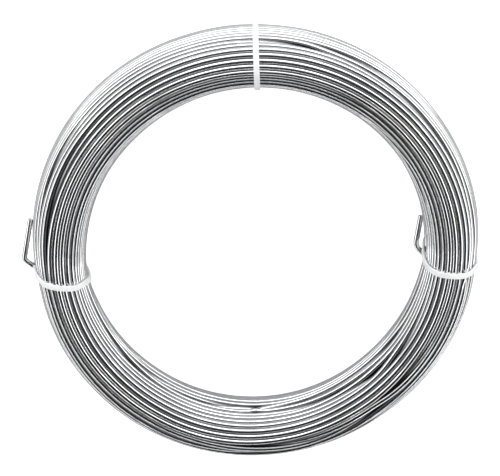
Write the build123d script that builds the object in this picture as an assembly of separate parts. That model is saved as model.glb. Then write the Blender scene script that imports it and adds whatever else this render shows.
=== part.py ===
# Coil of galvanized steel wire, lying flat, bound with three white cable ties.
# One length of wire is wound into a ring-shaped bundle, and its two ends are bent
# into hooks that stop at the side ties. Millimetres, +Z up, with the origin on the
# coil's axis at the level of the floor.
import os
from math import atan2, copysign, cos, degrees, radians, sin, tan

from build123d import *

# Wire and bundle
wire_diameter = 2.5
eye_diameter = 151.0          # clear hole through the coil
bundle_thickness = 24.0       # radial, over the wires
bundle_height = 42.0          # along the coil's axis, over the wires
crest_ratio = 0.75            # radius of the bundle's crest over half its thickness
groove_depth = 0.9            # of the valley between two neighbouring outer turns

# Cable ties: a strap with a locking head, its tail cut off just past the head
strap_width = 2.5
strap_thickness = 1.1
strap_clearance = 0.05        # between the wires and the pulled strap
head_length = 4.4             # along the strap
head_width = 4.6
head_height = 3.4             # outwards from the strap's inner face
head_corner = 0.5
slot_clearance = 0.15         # round the tail in the head's slot
slot_floor = 1.2              # of the head, left under the slot
tail_stub = 0.8               # of the cut tail, proud of the head
head_direction = -42.0        # of the head on the bundle's section, 0 outwards and 90 up

# Where each tie sits round the coil, its skew from the radial line, and how far it leans
# over along the wires, in degrees
tie_places = {
    "back_cable_tie": (90.1, 1.9, 0.0),
    "left_cable_tie": (188.6, -23.5, 0.0),
    "right_cable_tie": (356.5, -13.7, 5.7),
}

# The bent wire ends. Each steps off its turn beside a tie by a bend and a short straight,
# and its elbow turns it back along the bundle in a straight leg. The outer end leaves the
# bundle past the left tie, and the inner end before the right tie.
step_bend_radius = 1.8        # of the wire's centreline, as the elbow radii are
hook_root_angle = 6.0         # of the turn that the hook is joined to
outer_hook_height = 2.0       # above the middle of the bundle
outer_hook_gap = 0.15         # from the tie's edge to the start of the step
outer_step_angle = 63.0
outer_step_length = 3.2
outer_elbow_radius = 2.5
outer_leg_angle = 77.0
outer_leg_length = 16.8
inner_hook_height = -4.0
inner_hook_gap = 6.0
inner_step_angle = 51.0
inner_step_length = 6.8
inner_elbow_radius = 3.5
inner_leg_angle = 54.6
inner_leg_length = 11.7

# Worked out
wire_radius = wire_diameter / 2
eye_radius = eye_diameter / 2
mean_radius = eye_radius + bundle_thickness / 2
bundle_middle = strap_thickness + strap_clearance + bundle_height / 2
strap_inside = wire_radius + strap_clearance
strap_outside = strap_inside + strap_thickness

# The line through the centres of the outer turns is an oval of four tangent arcs.
oval_half_width = bundle_thickness / 2 - wire_radius
oval_half_height = bundle_height / 2 - wire_radius
crest_arc = crest_ratio * oval_half_width
crest_rise = oval_half_height - crest_arc
flank_arc = (oval_half_width**2 - crest_arc**2 + crest_rise**2) / (2 * (oval_half_width - crest_arc))
flank_shift = flank_arc - oval_half_width
join_angle = degrees(atan2(crest_rise, flank_shift))


def oval(offset):
    """Outline round the bundle's section, `offset` outside the line through the outer turns' centres."""
    flank_span = 2 * join_angle
    crest_span = 180 - flank_span
    outer_centre = (mean_radius - flank_shift, bundle_middle)
    top_centre = (mean_radius, bundle_middle + crest_rise)
    inner_centre = (mean_radius + flank_shift, bundle_middle)
    bottom_centre = (mean_radius, bundle_middle - crest_rise)
    with BuildLine(Plane.XZ) as outline:
        CenterArc(outer_centre, flank_arc + offset, -join_angle, flank_span)
        CenterArc(top_centre, crest_arc + offset, join_angle, crest_span)
        CenterArc(inner_centre, flank_arc + offset, 180 - join_angle, flank_span)
        CenterArc(bottom_centre, crest_arc + offset, 180 + join_angle, crest_span)
    return outline.wire()


turn_line = oval(0)
outer_turns = int(turn_line.length / wire_diameter)


def off_turn_line(turn, distance):
    """Point `distance` outside the line through the outer turns' centres, `turn` turns along it."""
    fraction = turn % outer_turns / outer_turns
    along = turn_line % fraction
    return turn_line @ fraction + Vector(along.Z, 0, -along.X) * distance


def wound_turns():
    """The bundle as one turned ring, in which each outer turn shows as a round ridge."""
    groove_offset = wire_radius - groove_depth
    with BuildLine(Plane.XZ) as section:
        for turn in range(outer_turns):
            groove = off_turn_line(turn, groove_offset)
            ridge = off_turn_line(turn + 0.5, wire_radius)
            next_groove = off_turn_line(turn + 1, groove_offset)
            ThreePointArc(groove, ridge, next_groove)
    return revolve(make_face(section.wire()), axis=Axis.Z)


def nearest_turn(side, height):
    """Centre of the outer turn nearest to `height` above the bundle's middle, on the flank at `side`."""
    centres = [off_turn_line(turn + 0.5, 0) for turn in range(outer_turns)]
    flank = [centre for centre in centres if side * (centre.X - mean_radius) > 0]
    return min(flank, key=lambda centre: abs(centre.Z - bundle_middle - height))


def beside_tie(turn, tie, gap):
    """Angle round the coil at which `turn` is `gap` from the edge of `tie`, past it or, if negative, before it."""
    tie_angle, skew, lean = tie_places[tie]
    shift = (turn.X - mean_radius) * tan(radians(skew))
    shift -= (turn.Z - bundle_middle) * tan(radians(lean)) / cos(radians(skew))
    half_strap = strap_width / 2 / cos(radians(skew))
    return tie_angle + degrees((shift + copysign(half_strap, gap) + gap) / turn.X)


def bent_end(turn, start_angle, travel, step_angle, step_length, elbow_radius, leg_angle, leg_length):
    """A bent end of the wire, stepping off `turn` at `start_angle`. `travel` is the way round, +1 or -1."""
    with BuildLine(Plane.XY.offset(turn.Z)) as path:
        root = CenterArc((0, 0), turn.X, start_angle - travel * hook_root_angle, travel * hook_root_angle)
        step_bend = JernArc(root @ 1, root % 1, step_bend_radius, step_angle)
        step = Line(step_bend @ 1, step_bend @ 1 + step_bend % 1 * step_length)
        elbow = JernArc(step @ 1, step % 1, elbow_radius, -leg_angle)
        Line(elbow @ 1, elbow @ 1 + elbow % 1 * leg_length)
    wire = path.wire()
    section = Plane(origin=wire @ 0, z_dir=wire % 0) * Circle(wire_radius)
    return sweep(section, path=wire)


def cable_tie(angle, skew, lean):
    """A pulled cable tie: its strap hugs the bundle, and its head sits low on the bundle's outside."""
    sector = 2 * degrees(bundle_thickness / mean_radius)
    start = Rot(Z=angle - sector / 2)
    outside = start * revolve(make_face(oval(strap_outside)), axis=Axis.Z, revolution_arc=sector)
    wires = start * revolve(make_face(oval(strap_inside)), axis=Axis.Z, revolution_arc=sector)
    middle = Rot(Z=angle) * Pos(mean_radius, 0, bundle_middle) * Rot(Z=skew) * Rot(X=lean)
    slab = middle * Box(3 * bundle_thickness, strap_width, 2 * bundle_height)
    strap = outside & slab
    # The head's own frame has X along the strap, Y across it and Z away from the wires.
    seat = crest_arc + strap_inside
    seat_out = seat * cos(radians(head_direction)) / cos(radians(skew))
    seat_up = (seat * sin(radians(head_direction)) - crest_rise) / cos(radians(lean))
    frame = middle * Pos(seat_out, 0, seat_up) * Rot(Y=90 - head_direction)
    head = Pos(Z=head_height / 2) * Box(head_length, head_width, head_height)
    head = fillet(head.edges().filter_by(Axis.Z) + head.faces().sort_by(Axis.Z)[-1].edges(), head_corner)
    slot_size = (strap_thickness + 2 * slot_clearance, strap_width + 2 * slot_clearance)
    slot = Pos(Z=slot_floor) * extrude(Rectangle(*slot_size), head_height)
    tail_length = head_height + tail_stub - slot_floor
    tail = Pos(Z=slot_floor) * extrude(Rectangle(strap_thickness, strap_width), tail_length)
    return strap + frame * (head - slot + tail) - wires


outer_turn = nearest_turn(1, outer_hook_height)
outer_end = bent_end(
    outer_turn,
    beside_tie(outer_turn, "left_cable_tie", -outer_hook_gap),
    -1,
    outer_step_angle,
    outer_step_length,
    outer_elbow_radius,
    outer_leg_angle,
    outer_leg_length,
)
inner_turn = nearest_turn(-1, inner_hook_height)
inner_end = bent_end(
    inner_turn,
    beside_tie(inner_turn, "right_cable_tie", -inner_hook_gap),
    1,
    inner_step_angle,
    inner_step_length,
    inner_elbow_radius,
    inner_leg_angle,
    inner_leg_length,
)
parts = {"wire_coil": wound_turns() + outer_end + inner_end}
for tie, place in tie_places.items():
    parts[tie] = cable_tie(*place)

os.makedirs("parts", exist_ok=True)
for name, shape in parts.items():
    export_step(shape, f"parts/{name}.step")
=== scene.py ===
"""Coil of galvanized wire bound with three cable ties, dressed for the picture.

The wire is wound turn by turn and settled in its bundle, then the ties are pulled
round it. Metres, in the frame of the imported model: the coil lies on the floor at
z = 0 with its axis on Z.
"""
from math import atan2, ceil, cos, pi, radians, sin

import bpy
import numpy as np
from mathutils import Matrix, Vector


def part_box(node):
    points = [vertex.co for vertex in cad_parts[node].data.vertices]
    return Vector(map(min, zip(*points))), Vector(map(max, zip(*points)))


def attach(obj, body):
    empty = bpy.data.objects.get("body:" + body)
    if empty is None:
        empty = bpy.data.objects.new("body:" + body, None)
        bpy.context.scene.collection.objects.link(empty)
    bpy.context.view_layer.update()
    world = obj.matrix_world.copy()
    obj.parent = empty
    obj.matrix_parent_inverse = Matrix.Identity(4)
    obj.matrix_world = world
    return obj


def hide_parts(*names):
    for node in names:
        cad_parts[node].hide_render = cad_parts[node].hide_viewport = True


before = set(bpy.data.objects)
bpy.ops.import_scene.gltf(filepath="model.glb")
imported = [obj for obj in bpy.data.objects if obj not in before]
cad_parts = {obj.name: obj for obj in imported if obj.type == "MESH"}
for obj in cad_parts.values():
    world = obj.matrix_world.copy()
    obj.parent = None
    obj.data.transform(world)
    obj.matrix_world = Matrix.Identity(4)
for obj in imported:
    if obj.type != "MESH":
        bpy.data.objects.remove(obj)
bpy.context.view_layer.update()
bpy.ops.object.select_all(action="DESELECT")
scene = bpy.context.scene


# Camera. A long lens looks at the coil's eye from about 19 degrees off its axis, with the
# coil's back, its +Y side, at the top of the picture.
coil_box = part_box("wire_coil")
coil_middle = Vector((0.0, 0.0, (coil_box[0][2] + coil_box[1][2]) / 2))
view_tilt = radians(18.6)
view_distance = 1.30
view_lens = 209.7             # millimetres, as the film is
film_width = 36.0
picture_shift = (-0.0135, 0.0128)     # to the side and up, as shares of the film's width

to_camera = Vector((0.0, sin(view_tilt), cos(view_tilt)))
picture_up = Vector((0.0, cos(view_tilt), -sin(view_tilt)))
picture_right = picture_up.cross(to_camera)
camera_data = bpy.data.cameras.new("camera")
camera_data.lens = view_lens
camera_data.sensor_width = film_width
camera_data.shift_x, camera_data.shift_y = picture_shift
camera = bpy.data.objects.new("camera", camera_data)
camera_axes = Matrix((picture_right, picture_up, to_camera)).transposed().to_4x4()
camera.matrix_world = Matrix.Translation(coil_middle + to_camera * view_distance) @ camera_axes
scene.collection.objects.link(camera)
scene.camera = camera
scene.view_settings.view_transform = "Standard"


# Shader nodes.
def new_material(name):
    """A new material, with its node tree and its Principled BSDF."""
    material = bpy.data.materials.new(name)
    material.use_nodes = True
    tree = material.node_tree
    return material, tree, tree.nodes["Principled BSDF"]


def set_inputs(tree, node, inputs):
    """Each of the node's `inputs` set to a number or colour, or joined to another node's output."""
    for socket, source in inputs.items():
        if isinstance(source, bpy.types.NodeSocket):
            tree.links.new(source, node.inputs[socket])
        else:
            node.inputs[socket].default_value = source


def add_node(tree, kind, inputs, **settings):
    """A new node of `kind` with its settings and inputs."""
    node = tree.nodes.new(kind)
    for setting, value in settings.items():
        setattr(node, setting, value)
    set_inputs(tree, node, inputs)
    return node


def maths(tree, operation, *values):
    """A number worked out from others."""
    return add_node(tree, "ShaderNodeMath", dict(enumerate(values)), operation=operation).outputs[0]


def vector_maths(tree, operation, inputs, output=0):
    """A vector, or the number at `output`, worked out from vectors."""
    return add_node(tree, "ShaderNodeVectorMath", inputs, operation=operation).outputs[output]


def mix_colour(tree, share, first, second):
    """A colour that goes from `first` to `second` as `share` goes from 0 to 1."""
    inputs = {"Factor": share, "A": first, "B": second}
    return add_node(tree, "ShaderNodeMix", inputs, data_type="RGBA").outputs["Result"]


def mix_level(tree, share, low, high):
    """A number that goes from `low` to `high` as `share` goes from 0 to 1."""
    inputs = {"Value": share, "To Min": low, "To Max": high}
    return add_node(tree, "ShaderNodeMapRange", inputs).outputs["Result"]


def bump(tree, height, depth, strength):
    """The surface's normal on bumps of `height`, which goes from 0 to 1."""
    inputs = {"Height": height, "Distance": depth, "Strength": strength}
    return add_node(tree, "ShaderNodeBump", inputs).outputs["Normal"]


# Studio. A white floor in white surroundings, both darker in the metal than to the camera.
# Softboxes stand in a half ring round the coil's back, where the wires mirror them as bright
# lines, and low strips stand round its front.
def softbox(name, azimuth, reach, height, size, radiance, mirrored=True):
    """A rectangular area lamp that faces the coil from `azimuth`, and looks as bright as `radiance`."""
    lamp_data = bpy.data.lights.new(name, "AREA")
    lamp_data.shape = "RECTANGLE"
    lamp_data.size, lamp_data.size_y = size
    lamp_data.energy = radiance * pi * size[0] * size[1]
    lamp = bpy.data.objects.new(name, lamp_data)
    place = Vector((reach * cos(radians(azimuth)), reach * sin(radians(azimuth)), height))
    towards = (coil_middle - place).to_track_quat("-Z", "Y")
    lamp.matrix_world = Matrix.Translation(place) @ towards.to_matrix().to_4x4()
    lamp.visible_glossy = mirrored
    scene.collection.objects.link(lamp)


white = (1.0, 1.0, 1.0, 1.0)
floor_width = 6.0
floor_colour = (0.86, 0.86, 0.86, 1.0)
floor_colour_in_metal = (0.62, 0.62, 0.62, 1.0)
floor_glow = 0.85             # seen by the camera
floor_glint = 0.05            # seen in the metal
room_grey = 0.035
room_white = 1.0

lamp_reach = 0.9              # from the coil's axis
softbox_size = (0.78, 0.52)
strip_width = 0.78
strip_radiance = 2.7
# Each softbox: its azimuth in degrees, the height it stands at and its radiance.
softboxes = ((0, 0.42, 2.4), (45, 0.38, 2.7), (90, 0.36, 2.7), (135, 0.40, 2.7), (180, 0.48, 2.0))
# Each strip: its azimuth, the height it stands at and how high its face is.
strips = ((225, 0.42, 0.22), (270, 0.34, 0.15), (315, 0.38, 0.26))

bpy.ops.mesh.primitive_plane_add(size=floor_width, location=(0.0, 0.0, 0.0))
floor = bpy.context.object
floor.name = "floor"
floor_paint, floor_tree, floor_shader = new_material("floor_white")
floor_rays = floor_tree.nodes.new("ShaderNodeLightPath")
to_metal = floor_rays.outputs["Is Glossy Ray"]
to_lens = floor_rays.outputs["Is Camera Ray"]
floor_in_metal = maths(floor_tree, "MULTIPLY", to_metal, floor_glint)
floor_inputs = {
    "Base Color": mix_colour(floor_tree, to_metal, floor_colour, floor_colour_in_metal),
    "Roughness": 1.0,
    "Specular IOR Level": 0.0,
    "Emission Color": white,
    "Emission Strength": maths(floor_tree, "MULTIPLY_ADD", to_lens, floor_glow, floor_in_metal),
}
set_inputs(floor_tree, floor_shader, floor_inputs)
floor.data.materials.append(floor_paint)
bpy.ops.object.select_all(action="DESELECT")

room = bpy.data.worlds.new("room")
scene.world = room
room.use_nodes = True
room_tree = room.node_tree
room_rays = room_tree.nodes.new("ShaderNodeLightPath")
room_level = mix_level(room_tree, room_rays.outputs["Is Camera Ray"], room_grey, room_white)
set_inputs(room_tree, room_tree.nodes["Background"], {"Color": white, "Strength": room_level})

for azimuth, height, radiance in softboxes:
    softbox(f"softbox_{azimuth}", azimuth, lamp_reach, height, softbox_size, radiance)
for azimuth, height, strip_height in strips:
    softbox(f"strip_{azimuth}", azimuth, lamp_reach, height, (strip_width, strip_height), strip_radiance)
# Two broad fills, high over the coil's back and front. The metal doesn't mirror the front one.
softbox("fill", azimuth=90, reach=0.9, height=1.0, size=(1.2, 0.9), radiance=0.8)
softbox("front_fill", azimuth=270, reach=0.8, height=0.9, size=(1.0, 0.8), radiance=1.5, mirrored=False)


# Wire. One length of 2.5 mm galvanized steel wire, wound in layers from the outside
# of the bundle inwards, which slip and settle against each other under the ties.
wire_diameter = 0.0025
wire_radius = wire_diameter / 2
eye_radius = 0.0755
bundle_thickness = 0.024
bundle_height = 0.042
mean_radius = eye_radius + bundle_thickness / 2
crest_roundness = 0.75
# The layers of turns from the outside in: how deep each lies, and how many turns it has.
layers = ((0.0, 43), (0.0027, 30), (0.0055, 25), (0.0083, 18))
stations = 72                 # places round the coil where the turns are settled
outer_end_angle = 187.1       # degrees, where the wire leaves the bundle past the left tie
inner_end_angle = 353.9       # the same before the right tie
outer_end_height = 0.002      # above the bundle's middle
inner_end_height = -0.004
slip = 0.0013                 # how far the turns wander from their layers
slip_run = 12                 # stations from one slip to the next
dives = 36                    # places where an outer turn slips under its neighbours
dive_depth = 0.08             # of the way to the bundle's middle
dive_run = 14                 # stations
settle_rounds = 260
stiff_rounds = 208            # of those rounds, before the wire may bend more freely
push = 0.75                   # share of an overlap that two turns are moved apart by in a round
closest = wire_radius / 20    # least distance that two turns are taken to be apart
hold = 0.03                   # share of its way to the bundle's outside that an outer turn is drawn back
stiffness = 0.22              # share of the wire's bends that is eased in a round
last_stiffness = 0.08         # the same in the last rounds
winding_seed = 2

# The bundle swells and narrows round the coil: at each angle, how far its outer and inner
# edges stand out from the plain ring.
edge_swell = (
    (0.0, 0.0002, 0.0016),
    (30.0, 0.0, -0.0006),
    (60.0, 0.0010, 0.0018),
    (90.0, 0.0009, 0.0015),
    (120.0, 0.0012, 0.0029),
    (150.0, 0.0024, 0.0026),
    (180.0, 0.0004, -0.0006),
    (210.0, 0.0003, -0.0015),
    (240.0, 0.0010, 0.0004),
    (270.0, -0.0008, -0.0014),
    (300.0, -0.0014, 0.0027),
    (330.0, -0.0018, 0.0024),
)
swell_ease = 25.0             # degrees to each side over which the swell is averaged
swell_samples = 9
# The side ties nip the bundle: (angle, width, how far each edge is drawn in).
tie_nips = ((189.5, 9.0, 0.0009), (355.5, 9.0, 0.0008))

half_width = bundle_thickness / 2 - wire_radius
half_height = bundle_height / 2 - wire_radius
crest_arc = crest_roundness * half_width
crest_rise = half_height - crest_arc
flank_arc = (half_width**2 - crest_arc**2 + crest_rise**2) / (2 * (half_width - crest_arc))
flank_shift = flank_arc - half_width
join_angle = atan2(crest_rise, flank_shift)
arc_points = 60               # along each arc of the section's oval
least_reach = 1e-9            # of a point from its arc's centre


def past_oval(out, up):
    """How far points of the section lie past the oval of the outer turns, and the way out there."""
    side, rise = np.abs(out), np.abs(up)
    on_crest = np.arctan2(rise, side + flank_shift) > join_angle
    centre_out = np.where(on_crest, 0.0, -flank_shift)
    centre_up = np.where(on_crest, crest_rise, 0.0)
    reach = np.maximum(np.hypot(side - centre_out, rise - centre_up), least_reach)
    past = reach - np.where(on_crest, crest_arc, flank_arc)
    way_out = (side - centre_out) / reach * np.sign(out)
    way_up = (rise - centre_up) / reach * np.sign(up)
    return past, way_out, way_up


def edges(angles):
    """How much thicker the bundle is at each angle, as a factor, and how far its middle lies out."""
    table = np.array(edge_swell)
    swell = np.zeros((2, len(angles)))
    for shift in np.linspace(-1, 1, swell_samples):
        near = (angles + shift * swell_ease) % 360
        swell += [np.interp(near, table[:, 0], column, period=360) for column in table.T[1:]]
    swell /= swell_samples
    for centre, width, nip in tie_nips:
        apart = (angles - centre + 180) % 360 - 180
        swell -= nip * np.exp(-((apart / width) ** 2))
    outer, inner = swell
    return 1 + (outer + inner) / 2 / half_width, (outer - inner) / 2


def lengths_along(line):
    """How far along `line` each of its points lies."""
    return np.concatenate([[0], np.cumsum(np.hypot(*np.diff(line, axis=0).T))])


def points_at(marks, known_marks, line):
    """Points of `line` at `marks`, where its own points are at `known_marks`."""
    return np.stack([np.interp(marks, known_marks, column) for column in line.T], axis=1)


def layer_places(depth, count):
    """Places of a layer's turns in the section, evenly spaced from the outer end over the top."""
    arcs = (
        (-flank_shift, 0.0, flank_arc, -join_angle, join_angle),
        (0.0, crest_rise, crest_arc, join_angle, pi - join_angle),
        (flank_shift, 0.0, flank_arc, pi - join_angle, pi + join_angle),
        (0.0, -crest_rise, crest_arc, pi + join_angle, 2 * pi - join_angle),
    )
    pieces = []
    for out, up, arc, start, end in arcs:
        turn = np.linspace(start, end, arc_points)
        reach = max(arc - depth, 0)
        pieces.append(np.stack([out + reach * np.cos(turn), up + reach * np.sin(turn)], axis=1))
    start_share = np.interp(outer_end_height, pieces[0][:, 1], np.linspace(0, 1, arc_points))
    line = np.concatenate(pieces + [pieces[0][:1]])
    lengths = lengths_along(line)
    start = start_share * lengths[arc_points - 1]
    even = (start + np.arange(count) * lengths[-1] / count) % lengths[-1]
    return points_at(even, lengths, line)


def winding_order():
    """The turns' places in winding order: to and fro through the upper halves of the layers
    inwards, up the core, and back out through the lower halves."""
    upper, lower = [], []
    for number, (depth, count) in enumerate(layers):
        places = layer_places(depth, count)
        half = (count + 1) // 2
        outwards = number % 2
        upper.append(places[:half][::-1] if outwards else places[:half])
        lower.append(places[half:] if outwards else places[half:][::-1])
    core = np.concatenate([upper.pop(), lower.pop()])
    return np.concatenate([*upper, core[np.argsort(core[:, 1])], *reversed(lower)])


def wind():
    """Section places of the whole wire, one for each station passed, with slow random slips and
    dives, and how firmly each place is held on the bundle's outside. The last turn lies at the
    height where the inner end leaves the bundle."""
    slots = winding_order()
    slots[-2:] = (-half_width, inner_end_height)
    last_part = ceil((inner_end_angle - outer_end_angle) / 360 * stations)
    steps = np.arange((len(slots) - 2) * stations + last_part + 1)
    turn = steps // stations
    share = (steps % stations / stations)[:, None]
    line = slots[turn] * (1 - share) + slots[turn + 1] * share
    random = np.random.default_rng(winding_seed)
    slips = random.normal(0, slip, (len(steps) // slip_run + 2, 2))
    knot = steps // slip_run
    part = (steps % slip_run / slip_run)[:, None]
    ease = part * part * (3 - 2 * part)
    line = line + slips[knot] * (1 - ease) + slips[knot + 1] * ease
    outer_half = layers[0][1] // 2
    outside = (turn < outer_half) | (turn > len(slots) - 2 - outer_half)
    dive = np.zeros(len(steps))
    for middle in random.choice(steps[outside], dives):
        dive = np.maximum(dive, random.random() * np.exp(-(((steps - middle) / dive_run) ** 2)))
    return line * (1 - dive_depth * dive[:, None]), np.where(outside, hold * (1 - dive), 0)


def settle(line, held):
    """The turns pushed apart where they overlap, held in the bundle's section and kept smooth. The
    last turn isn't a whole one, so it is filled up with places far away that touch nothing."""
    length = len(line)
    turns = -(-length // stations)
    spare = turns * stations - length
    away = np.stack([np.arange(1, spare + 1), np.ones(spare)], axis=1)
    angles = outer_end_angle + np.arange(stations) * 360 / stations
    thickness, _ = edges(angles)
    line = line * np.stack([thickness[np.arange(length) % stations], np.ones(length)], axis=1)
    itself = np.eye(turns, dtype=bool)[:, :, None]
    held = np.append(held, np.zeros(spare)).reshape(turns, stations)
    for settle_round in range(settle_rounds):
        section = np.concatenate([line, away]).reshape(turns, stations, 2)
        gap = (section[:, None] - section[None]).astype(np.float32)
        distance = np.hypot(gap[..., 0], gap[..., 1])
        overlap = np.where(itself, 0, np.clip(wire_diameter - distance, 0, None))
        share = push / 2 * overlap / np.maximum(distance, closest)
        section = section + (share[..., None] * gap).sum(axis=1)
        past, way_out, way_up = past_oval(section[..., 0] / thickness, section[..., 1])
        past = np.where(past > 0, past, past * held)
        section[..., 0] -= past * way_out * thickness
        section[..., 1] -= past * way_up
        line = section.reshape(-1, 2)[:length]
        bend = stiffness if settle_round < stiff_rounds else last_stiffness
        eased = line.copy()
        eased[1:-1] += bend * (line[2:] + line[:-2] - 2 * line[1:-1])
        line = eased
    return line


wound = settle(*wind())

# The settled places are joined into smooth points along the wire.
points_per_station = 2


def smooth_between(line, pieces):
    """More points on a smooth curve through those of `line`, `pieces` to each gap."""
    before = np.concatenate([line[:1], line[:-2]])
    start, end = line[:-1], line[1:]
    after = np.concatenate([line[2:], line[-1:]])
    rows = []
    for piece in range(pieces):
        t = piece / pieces
        rows.append(
            0.5
            * (
                2 * start
                + (end - before) * t
                + (2 * before - 5 * start + 4 * end - after) * t**2
                + (3 * start - before - 3 * end + after) * t**3
            )
        )
    return np.concatenate([np.stack(rows, axis=1).reshape(-1, line.shape[1]), line[-1:]])


# The smooth line stops at the inner end's angle, between two of its points.
bundle_middle = coil_middle.z
fine = smooth_between(wound, points_per_station)
fine_step = 360 / (stations * points_per_station)
past_end = (outer_end_angle + (len(fine) - 1) * fine_step - inner_end_angle) % 360 / fine_step
last_kept = len(fine) - 1 - int(past_end)
fine_turned = np.append(np.arange(last_kept), len(fine) - 1 - past_end)
fine = points_at(fine_turned, np.arange(len(fine)), fine)
fine_angle = np.radians(outer_end_angle + fine_turned * fine_step)
fine_radius = mean_radius + fine[:, 0]
fine_radius = fine_radius + edges(np.degrees(fine_angle) % 360)[1]
ring_x = fine_radius * np.cos(fine_angle)
ring_y = fine_radius * np.sin(fine_angle)
wire_line = np.stack([ring_x, ring_y, bundle_middle + fine[:, 1]], axis=1)

# The two ends are bent by hand: out of the bundle, then back along it in a straight leg.
# Each bend is its radius, its turn in degrees and the straight run after it.
outer_bends = ((0.0018, 45.0, 0.0060), (0.0025, -62.0, 0.0174))
inner_bends = ((0.0018, 51.0, 0.0035), (0.0050, -54.0, 0.0116))
bend_pieces = 8               # straight pieces to each bend
# The snipped tip: how far past the leg, and how much of the wire's radius is left there.
tip_cut = ((0.00025, 0.94), (0.00042, 0.72), (0.00050, 0.40))


def bent_end(start, angle, travel, bends):
    """Points of a bent end that leaves its turn at `start`, with the way round +1 or -1 in `travel`."""
    points = []
    place = Vector(start)
    heading = Vector((-sin(radians(angle)), cos(radians(angle)), 0.0)) * travel
    for bend_radius, turn, straight in bends:
        side = Vector((-heading.y, heading.x, 0.0)) * (1 if turn > 0 else -1)
        centre = place + side * bend_radius
        spoke = place - centre
        for piece in range(1, bend_pieces + 1):
            swing = Matrix.Rotation(radians(turn) * piece / bend_pieces, 3, "Z")
            points.append(centre + swing @ spoke)
        heading = Matrix.Rotation(radians(turn), 3, "Z") @ heading
        place = points[-1] + heading * straight
        points.append(place)
    points += [place + heading * past for past, _ in tip_cut]
    return points


outer_points = bent_end(wire_line[0], outer_end_angle, -1, outer_bends)
inner_points = bent_end(wire_line[-1], inner_end_angle, 1, inner_bends)
wire_path = [tuple(point) for point in (*reversed(outer_points), *wire_line, *inner_points)]
# How finely the wire is drawn.
curve_fineness = 3            # of its round section, which then has ten sides
smooth_angle = radians(40)    # edges that bend less than this are shaded as smooth


def select_only(piece):
    """`piece` alone selected, and active."""
    bpy.ops.object.select_all(action="DESELECT")
    piece.select_set(True)
    bpy.context.view_layer.objects.active = piece


def wire_piece(name, path, tip_first):
    """A round wire along `path`, as a mesh with closed ends, the snipped tip first or last."""
    curve = bpy.data.curves.new(name, "CURVE")
    curve.dimensions = "3D"
    curve.twist_mode = "Z_UP"
    curve.bevel_depth = wire_radius
    curve.bevel_resolution = curve_fineness
    curve.use_fill_caps = True
    spline = curve.splines.new("POLY")
    spline.points.add(len(path) - 1)
    spline.points.foreach_set("co", [value for point in path for value in (*point, 1.0)])
    radii = [1.0] * (len(path) - len(tip_cut)) + [left for _, left in tip_cut]
    spline.points.foreach_set("radius", radii[::-1] if tip_first else radii)
    piece = bpy.data.objects.new(name, curve)
    scene.collection.objects.link(piece)
    select_only(piece)
    bpy.ops.object.convert(target="MESH")
    bpy.ops.object.shade_smooth_by_angle(angle=smooth_angle)
    piece = bpy.context.object
    bpy.ops.object.select_all(action="DESELECT")
    return piece


# Painted shade, with a little dust, darkens the grooves between the turns
# where they lie deep under the bundle's outside.
shade_start_depth = 0.0005          # below the bundle's outside
full_shade_depth = 0.0015


def mark_groove_shade(piece):
    """An attribute of the piece's points: 0 on open zinc and 1 deep in the grooves, where shade is
    painted.
    """
    count = len(piece.data.vertices)
    places = np.empty(count * 3)
    piece.data.vertices.foreach_get("co", places)
    places = places.reshape(-1, 3)
    thickness, shift = edges(np.degrees(np.arctan2(places[:, 1], places[:, 0])) % 360)
    out = np.hypot(places[:, 0], places[:, 1]) - mean_radius - shift
    past = past_oval(out / thickness, places[:, 2] - bundle_middle)[0]
    # The painted shade grows with the depth under the bundle's outside.
    groove = np.clip((wire_radius - past - shade_start_depth) / (full_shade_depth - shade_start_depth), 0, 1)
    groove_shade = piece.data.attributes.new("groove_shade", "FLOAT", "POINT")
    groove_shade.data.foreach_set("value", groove)


# Soft patches are clouds of one size, from which the streaks, the dull places and the grain
# of both materials are made.
patch_detail = 2.0
patch_roughness = 0.5
patch_fade = (0.35, 0.65)     # of the noise, between which a patch fades in


def soft_patches():
    """A node group: soft patches of one size, that run between two levels over the surface."""
    group = bpy.data.node_groups.new("soft_patches", "ShaderNodeTree")
    group.interface.new_socket("Place", in_out="INPUT", socket_type="NodeSocketVector")
    for name in ("Depth", "Size", "Low", "High"):
        group.interface.new_socket(name, in_out="INPUT", socket_type="NodeSocketFloat")
    group.interface.new_socket("Level", in_out="OUTPUT", socket_type="NodeSocketFloat")
    given = group.nodes.new("NodeGroupInput").outputs
    cloud_inputs = {
        "Vector": given["Place"],
        "W": given["Depth"],
        "Scale": maths(group, "DIVIDE", 1.0, given["Size"]),
        "Detail": patch_detail,
        "Roughness": patch_roughness,
    }
    cloud = add_node(group, "ShaderNodeTexNoise", cloud_inputs, noise_dimensions="4D")
    level_inputs = {
        "Value": cloud.outputs["Fac"],
        "From Min": patch_fade[0],
        "From Max": patch_fade[1],
        "To Min": given["Low"],
        "To Max": given["High"],
    }
    level = add_node(group, "ShaderNodeMapRange", level_inputs, interpolation_type="SMOOTHSTEP")
    add_node(group, "NodeGroupOutput", {"Level": level.outputs["Result"]})
    return group


def patches(tree, place, size, low=0.0, high=1.0, depth=0.0):
    """Soft patches of `size` in a material, from `low` to `high`. `depth` is one more coordinate."""
    inputs = {"Place": place, "Depth": depth, "Size": size, "Low": low, "High": high}
    return add_node(tree, "ShaderNodeGroup", inputs, node_tree=patch_group).outputs["Level"]


# The zinc is bright where the die has polished it, in fine streaks along the wire, and dull
# in long soft patches. Both are laid out round the coil, so that they follow every turn.
patch_group = soft_patches()
streak_width = 0.0004
streak_length = 0.060
patch_streaks = 7.0           # how many streaks wide and long a dull patch is
bright_zinc = (0.86, 0.865, 0.875, 1.0)
dull_zinc = (0.70, 0.71, 0.725, 1.0)
# Near-black painted shade for the grooves between the turns.
shaded_groove_zinc = (0.05, 0.05, 0.053, 1.0)
bright_roughness = 0.09
dull_roughness = 0.14
groove_roughness = 0.5
streak_depth = 0.00001
streak_strength = 0.15

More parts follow.
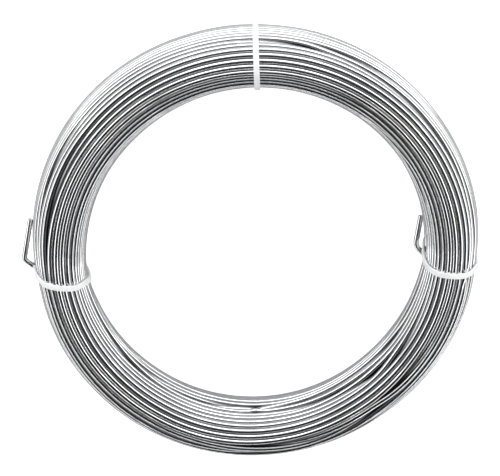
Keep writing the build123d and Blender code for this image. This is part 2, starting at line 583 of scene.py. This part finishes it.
zinc, zinc_tree, zinc_shader = new_material("galvanized_wire")
zinc_place = zinc_tree.nodes.new("ShaderNodeTexCoord").outputs["Object"]
flat_place = vector_maths(zinc_tree, "MULTIPLY", {0: zinc_place, 1: (1.0, 1.0, 0.0)})
ring_radius = vector_maths(zinc_tree, "LENGTH", {0: flat_place}, output="Value")
round_way = vector_maths(zinc_tree, "NORMALIZE", {0: flat_place})
along_way = vector_maths(zinc_tree, "SCALE", {0: round_way, "Scale": mean_radius / streak_length})
streak_rows = {0: zinc_place, 1: (0.0, 0.0, 1 / streak_width), 2: along_way}
streak_place = vector_maths(zinc_tree, "MULTIPLY_ADD", streak_rows)
streak_layer = maths(zinc_tree, "MULTIPLY", ring_radius, 1 / streak_width)
streaks = patches(zinc_tree, streak_place, size=1.0, depth=streak_layer)
dullness = patches(zinc_tree, streak_place, size=patch_streaks, depth=streak_layer)
greyness = maths(zinc_tree, "MULTIPLY", streaks, dullness)
unshaded_colour = mix_colour(zinc_tree, greyness, bright_zinc, dull_zinc)
unshaded_roughness = mix_level(zinc_tree, greyness, bright_roughness, dull_roughness)
# The grooves' painted shade darkens the zinc's colour and makes it rougher.
groove_shading = add_node(zinc_tree, "ShaderNodeAttribute", {}, attribute_name="groove_shade").outputs["Fac"]
zinc_inputs = {
    "Base Color": mix_colour(zinc_tree, groove_shading, unshaded_colour, shaded_groove_zinc),
    "Metallic": 1.0,
    "Roughness": mix_level(zinc_tree, groove_shading, unshaded_roughness, groove_roughness),
    "Normal": bump(zinc_tree, streaks, streak_depth, streak_strength),
}
set_inputs(zinc_tree, zinc_shader, zinc_inputs)

half_path = len(wire_path) // 2
for name, path, tip_first in (
    ("wire_outer_turns", wire_path[: half_path + 1], True),
    ("wire_inner_turns", wire_path[half_path:], False),
):
    wire = wire_piece(name, path, tip_first)
    mark_groove_shade(wire)
    wire.data.materials.append(zinc)
    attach(wire, "root")
    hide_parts("wire_coil")


# Cable ties. Three moulded nylon ties of 2.5 mm, pulled tight by hand round the bundle.
# The strap lies flat on the wires, runs out through the head's slot and is cut off there.
strap_width = 0.0025
strap_thickness = 0.0011
strap_corner = 0.00032
corner_steps = 3
strap_clearance = 0.00005
strap_steps = 150             # round the bundle
strap_smoothing = 6
rim_points = 16               # round each wire that a strap crosses
# How far each strap is pulled aside along the wires, at angles on the bundle's section.
back_pulls = ((0, 0), (180, 0))
left_pulls = ((0, 0), (30, 0.0006), (60, 0.0010), (100, 0), (145, -0.0010), (185, 0))
right_pulls = (
    (0, 0),
    (35, 0.0020),
    (59, 0.0009),
    (90, -0.0003),
    (121, -0.0021),
    (148, -0.0035),
    (165, -0.0030),
    (190, 0),
)
# Each tie: its place round the coil, its skew and its lean in degrees, and its pulls.
tie_places = (
    ("back", 90.1, 1.9, 0.0, back_pulls),
    ("left", 188.6, -23.5, 0.0, left_pulls),
    ("right", 356.5, -13.7, 5.7, right_pulls),
)


def pulled_aside(places, lean, pulls):
    """How far along the wires the strap lies from its plane, at `places` of the section."""
    out, up = places[..., 0], places[..., 1]
    section_angle = np.degrees(np.arctan2(up / bundle_height, out / bundle_thickness)) % 360
    angles, shifts = np.array(pulls).T
    return np.interp(section_angle, angles, shifts, period=360) - np.tan(radians(lean)) * up


def crossings(middle, along, across, lean, pulls):
    """Where the wire passes through the tie: offsets along its plane and up, from `middle`."""
    apart = wire_line - middle
    places = np.stack([apart @ along, apart[:, 2]], axis=1)
    side = apart @ across - pulled_aside(places, lean, pulls)
    near = np.hypot(apart[:, 0], apart[:, 1]) < 2 * bundle_thickness
    passes = np.flatnonzero((side[:-1] * side[1:] <= 0) & near[:-1])
    share = (side[passes] / (side[passes] - side[passes + 1]))[:, None]
    return places[passes] * (1 - share) + places[passes + 1] * share


def taut_loop(places, rim_reach):
    """The loop that a taut strap takes round wires at `places`, as evenly spaced points. The strap
    crosses each wire at a skew, so the wire's section there is `rim_reach` wide to each side."""
    turn = np.linspace(0, 2 * pi, rim_points, endpoint=False)
    rims = places[:, None] + np.stack([rim_reach * np.cos(turn), wire_radius * np.sin(turn)], axis=1)
    dots = sorted(map(tuple, rims.reshape(-1, 2)))
    hull = []
    for half in (dots, dots[::-1]):
        chain = []
        for dot in half:
            while len(chain) > 1 and (
                (chain[-1][0] - chain[-2][0]) * (dot[1] - chain[-2][1])
                <= (chain[-1][1] - chain[-2][1]) * (dot[0] - chain[-2][0])
            ):
                chain.pop()
            chain.append(dot)
        hull += chain[:-1]
    hull = np.array(hull + hull[:1])
    lengths = lengths_along(hull)
    even = np.linspace(0, lengths[-1], strap_steps, endpoint=False)
    loop = points_at(even, lengths, hull)
    for _ in range(strap_smoothing):
        loop = (np.roll(loop, 1, axis=0) + 2 * loop + np.roll(loop, -1, axis=0)) / 4
    return loop


def strap_section():
    """The strap's rounded section: offsets across the strap and out from its inner face."""
    corners = []
    for side, out, start in ((1, 0, -90), (1, 1, 0), (-1, 1, 90), (-1, 0, 180)):
        aside = side * (strap_width / 2 - strap_corner)
        rise = strap_thickness - strap_corner if out else strap_corner
        for step in range(corner_steps + 1):
            swing = radians(start + step * 90 / corner_steps)
            corners.append((aside + strap_corner * cos(swing), rise + strap_corner * sin(swing)))
    return corners


def unit(rows):
    """Each row at length 1."""
    return rows / np.linalg.norm(rows, axis=1)[:, None]


def strap_piece(name, path, middle):
    """A closed strap along `path`, and at each of its steps the ways ahead, across it and outwards."""
    ahead = unit(np.roll(path, -1, axis=0) - np.roll(path, 1, axis=0))
    wires = unit(np.cross((0, 0, 1), path * (1, 1, 0)))
    outward = unit(np.cross(wires, ahead))
    outward *= np.sign((outward * (path - middle)).sum(axis=1))[:, None]
    crosswise = np.cross(outward, ahead)
    section = strap_section()
    rings = [path + crosswise * aside + outward * (strap_clearance + rise) for aside, rise in section]
    points = np.stack(rings, axis=1).reshape(-1, 3)
    count = len(section)
    faces = []
    for step in range(strap_steps):
        here, there = step * count, (step + 1) % strap_steps * count
        for corner in range(count):
            beside = (corner + 1) % count
            faces.append((here + corner, here + beside, there + beside, there + corner))
    mesh = bpy.data.meshes.new(name)
    mesh.from_pydata(points.tolist(), [], faces)
    strap = bpy.data.objects.new(name, mesh)
    scene.collection.objects.link(strap)
    select_only(strap)
    bpy.ops.object.mode_set(mode="EDIT")
    bpy.ops.mesh.select_all(action="SELECT")
    bpy.ops.mesh.normals_make_consistent(inside=False)
    bpy.ops.object.mode_set(mode="OBJECT")
    bpy.ops.object.select_all(action="DESELECT")
    return strap, ahead, crosswise, outward


# The locking head is a box with rounded corners and a slot right across the strap. The
# pulled tail stands out of the slot, snipped off at a slant.
head_direction = -42.0        # of the head on the bundle's section, 0 outwards and 90 up
head_length = 0.0044          # along the strap
head_width = 0.0046
head_height = 0.0034          # outwards from the strap's inner face
head_corner = 0.0005
slot_length = 0.0014
slot_width = 0.0028
slot_floor = 0.0012           # of the head, left under the slot
tail_stub = 0.0008            # of the tail, proud of the head
snip_slant = 0.0004
tail_corner = 0.00025
corner_segments = 3
level_top = 0.99              # least upward part of a level face's normal


def box_at_origin(length, width, low, high, corner):
    """A box on the origin from `low` to `high`, with its upright and top edges rounded."""
    middle = (low + high) / 2
    bpy.ops.mesh.primitive_cube_add(size=1.0, location=(0.0, 0.0, middle))
    box = bpy.context.object
    box.scale = (length, width, high - low)
    bpy.ops.object.transform_apply(location=True, rotation=True, scale=True)
    bpy.ops.object.mode_set(mode="EDIT")
    bpy.ops.mesh.select_mode(type="EDGE")
    bpy.ops.mesh.select_all(action="DESELECT")
    bpy.ops.object.mode_set(mode="OBJECT")
    for edge in box.data.edges:
        heights = [box.data.vertices[end].co.z for end in edge.vertices]
        edge.select = max(heights) > middle
    bpy.ops.object.mode_set(mode="EDIT")
    bpy.ops.mesh.bevel(offset=corner, segments=corner_segments, affect="EDGES")
    bpy.ops.object.mode_set(mode="OBJECT")
    return box


def select_top(box):
    """Only the flat top face of `box` selected, in edit mode."""
    bpy.ops.object.mode_set(mode="EDIT")
    bpy.ops.mesh.select_mode(type="FACE")
    bpy.ops.mesh.select_all(action="DESELECT")
    bpy.ops.object.mode_set(mode="OBJECT")
    top = max(box.data.polygons, key=lambda face: face.center.z * (face.normal.z > level_top))
    top.select = True
    bpy.ops.object.mode_set(mode="EDIT")


def tie_head():
    """The head and the tail's stub at the origin: X along the strap, Y across it and Z outwards."""
    head = box_at_origin(head_length, head_width, 0.0, head_height, head_corner)
    select_top(head)
    rim = (head_width - 2 * head_corner - slot_width) / 2
    bpy.ops.mesh.inset(thickness=rim, depth=0.0)
    opening = head_length - 2 * head_corner - 2 * rim
    narrowing = (slot_length / opening, 1.0, 1.0)
    bpy.ops.transform.resize(value=narrowing, center_override=(0.0, 0.0, head_height))
    slot_depth = (0.0, 0.0, slot_floor - head_height)
    bpy.ops.mesh.extrude_region_move(TRANSFORM_OT_translate={"value": slot_depth})
    bpy.ops.object.mode_set(mode="OBJECT")
    tail = box_at_origin(strap_thickness, strap_width, slot_floor, head_height + tail_stub, tail_corner)
    for corner in tail.data.vertices:
        if corner.co.z > head_height:
            corner.co.z -= snip_slant * (0.5 + corner.co.x / strap_thickness)
    head.select_set(True)
    tail.select_set(True)
    bpy.context.view_layer.objects.active = head
    bpy.ops.object.join()
    return bpy.context.object


# The nylon is milky white, with a faint mould grain and slightly duller, cooler patches.
clear_nylon = (0.95, 0.95, 0.94, 1.0)
cool_nylon = (0.88, 0.89, 0.90, 1.0)
cool_patch = 0.003
gloss_patch = 0.001
gloss_range = (0.32, 0.48)    # of the roughness
grain_size = 0.00015
grain_depth = 0.00001
grain_strength = 0.5
nylon_glow = 0.15             # share of the light that passes under the surface
nylon_glow_depth = (0.0006, 0.0006, 0.0006)

nylon, nylon_tree, nylon_shader = new_material("white_nylon")
nylon_place = nylon_tree.nodes.new("ShaderNodeTexCoord").outputs["Object"]
coolness = patches(nylon_tree, nylon_place, cool_patch)
grain = patches(nylon_tree, nylon_place, grain_size)
nylon_inputs = {
    "Base Color": mix_colour(nylon_tree, coolness, clear_nylon, cool_nylon),
    "Roughness": patches(nylon_tree, nylon_place, gloss_patch, *gloss_range),
    "Normal": bump(nylon_tree, grain, grain_depth, grain_strength),
    "Subsurface Weight": nylon_glow,
    "Subsurface Radius": nylon_glow_depth,
    "Subsurface Scale": 1.0,
}
set_inputs(nylon_tree, nylon_shader, nylon_inputs)


def way_at(angle):
    """The way to `angle` degrees in the plane of the first two axes."""
    return np.array((cos(radians(angle)), sin(radians(angle)), 0.0))


upwards = np.array((0.0, 0.0, 1.0))
for name, angle, skew, lean, pulls in tie_places:
    middle = mean_radius * way_at(angle) + bundle_middle * upwards
    along = way_at(angle + skew)
    across = np.array((-along[1], along[0], 0.0))
    rim_reach = wire_radius / cos(radians(skew))
    loop = taut_loop(crossings(middle, along, across, lean, pulls), rim_reach)
    aside = pulled_aside(loop, lean, pulls)[:, None]
    path = middle + loop[:, :1] * along + aside * across + loop[:, 1:] * upwards
    tie, ahead, crosswise, outward = strap_piece(name + "_tie", path, middle)
    seat = int(np.argmax(loop @ way_at(head_direction)[:2]))
    head = tie_head()
    axes = Matrix((ahead[seat], crosswise[seat], outward[seat])).transposed().to_4x4()
    head.data.transform(Matrix.Translation(path[seat] + outward[seat] * strap_clearance) @ axes)
    tie.select_set(True)
    bpy.context.view_layer.objects.active = tie
    bpy.ops.object.join()
    bpy.ops.object.shade_smooth_by_angle(angle=smooth_angle)
    bpy.ops.object.select_all(action="DESELECT")
    tie.data.materials.append(nylon)
    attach(tie, "root")
    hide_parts(name + "_cable_tie")
